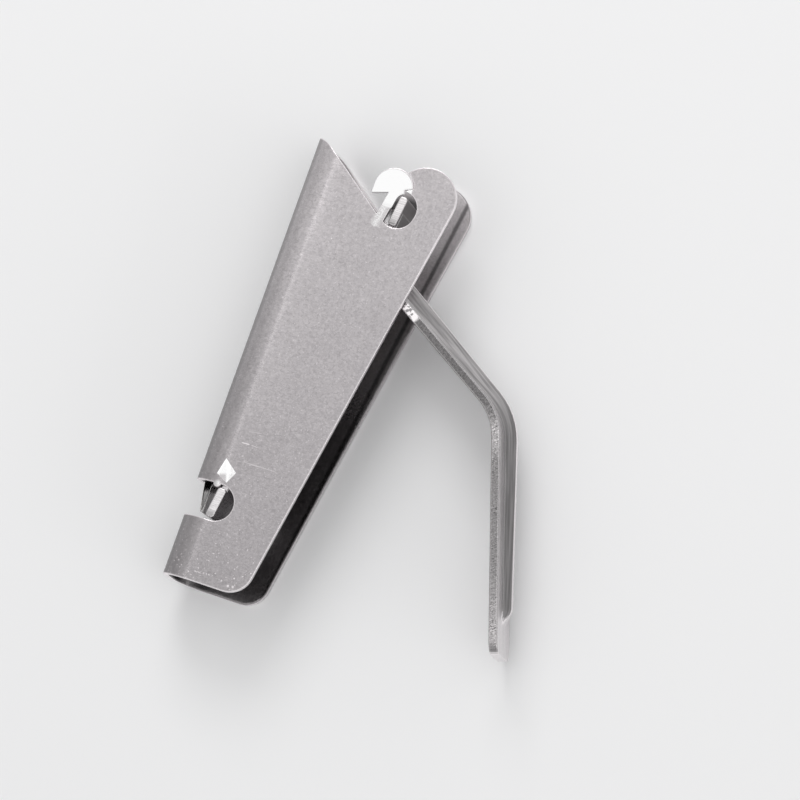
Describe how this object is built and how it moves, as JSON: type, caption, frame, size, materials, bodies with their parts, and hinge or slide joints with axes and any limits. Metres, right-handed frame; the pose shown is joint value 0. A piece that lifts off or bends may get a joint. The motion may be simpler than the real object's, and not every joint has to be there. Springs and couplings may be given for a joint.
{
  "type": "pine nut cracker",
  "caption": "Squeeze hand tool folded from sheet steel: a bent handle hung in round seats pushes a presser plate towards the spine of a tapered channel to crack small nuts.",
  "frame": {"origin": "on the outer face of the back cheek, 14 mm from the spine and 46 mm below its top edge", "axes": "+Y up along the spine towards the nut mouth, +X from the spine towards the handle, +Z from the back cheek to the front cheek"},
  "size_m": [0.0709, 0.0942, 0.018],
  "materials": {
    "body_steel": "satin stainless sheet with fine grain, brighter cut edges",
    "handle_steel": "satin stainless strip, brighter sheared edges",
    "presser_steel": "satin stainless strip, brighter sheared edges",
    "spring_steel": "bright cold rolled spring strip"
  },
  "bodies": {
    "body": {"body_shell": "body_steel", "return_spring": "spring_steel"},
    "handle": {"handle_lever": "handle_steel"},
    "presser": {"presser_plate": "presser_steel"}
  },
  "joints": [
    {"name": "handle_hinge", "type": "hinge", "parent": "body", "child": "handle", "pos_m": [0.00773, 0.03585, 0.009], "axis": [0, 0, 1], "range_deg": [-18, 0], "stiffness_Nm_per_rad": 0.03, "springref_deg": 20.05},
    {"name": "presser_hinge", "type": "hinge", "parent": "body", "child": "presser", "pos_m": [-0.0073, -0.03155, 0.009], "axis": [0, 0, 1], "range_deg": [0, 4], "deforming": ["return_spring"]}
  ],
  "couplings": [
    {"joint": "presser_hinge", "follows": "handle_hinge", "ratio": -0.185}
  ]
}
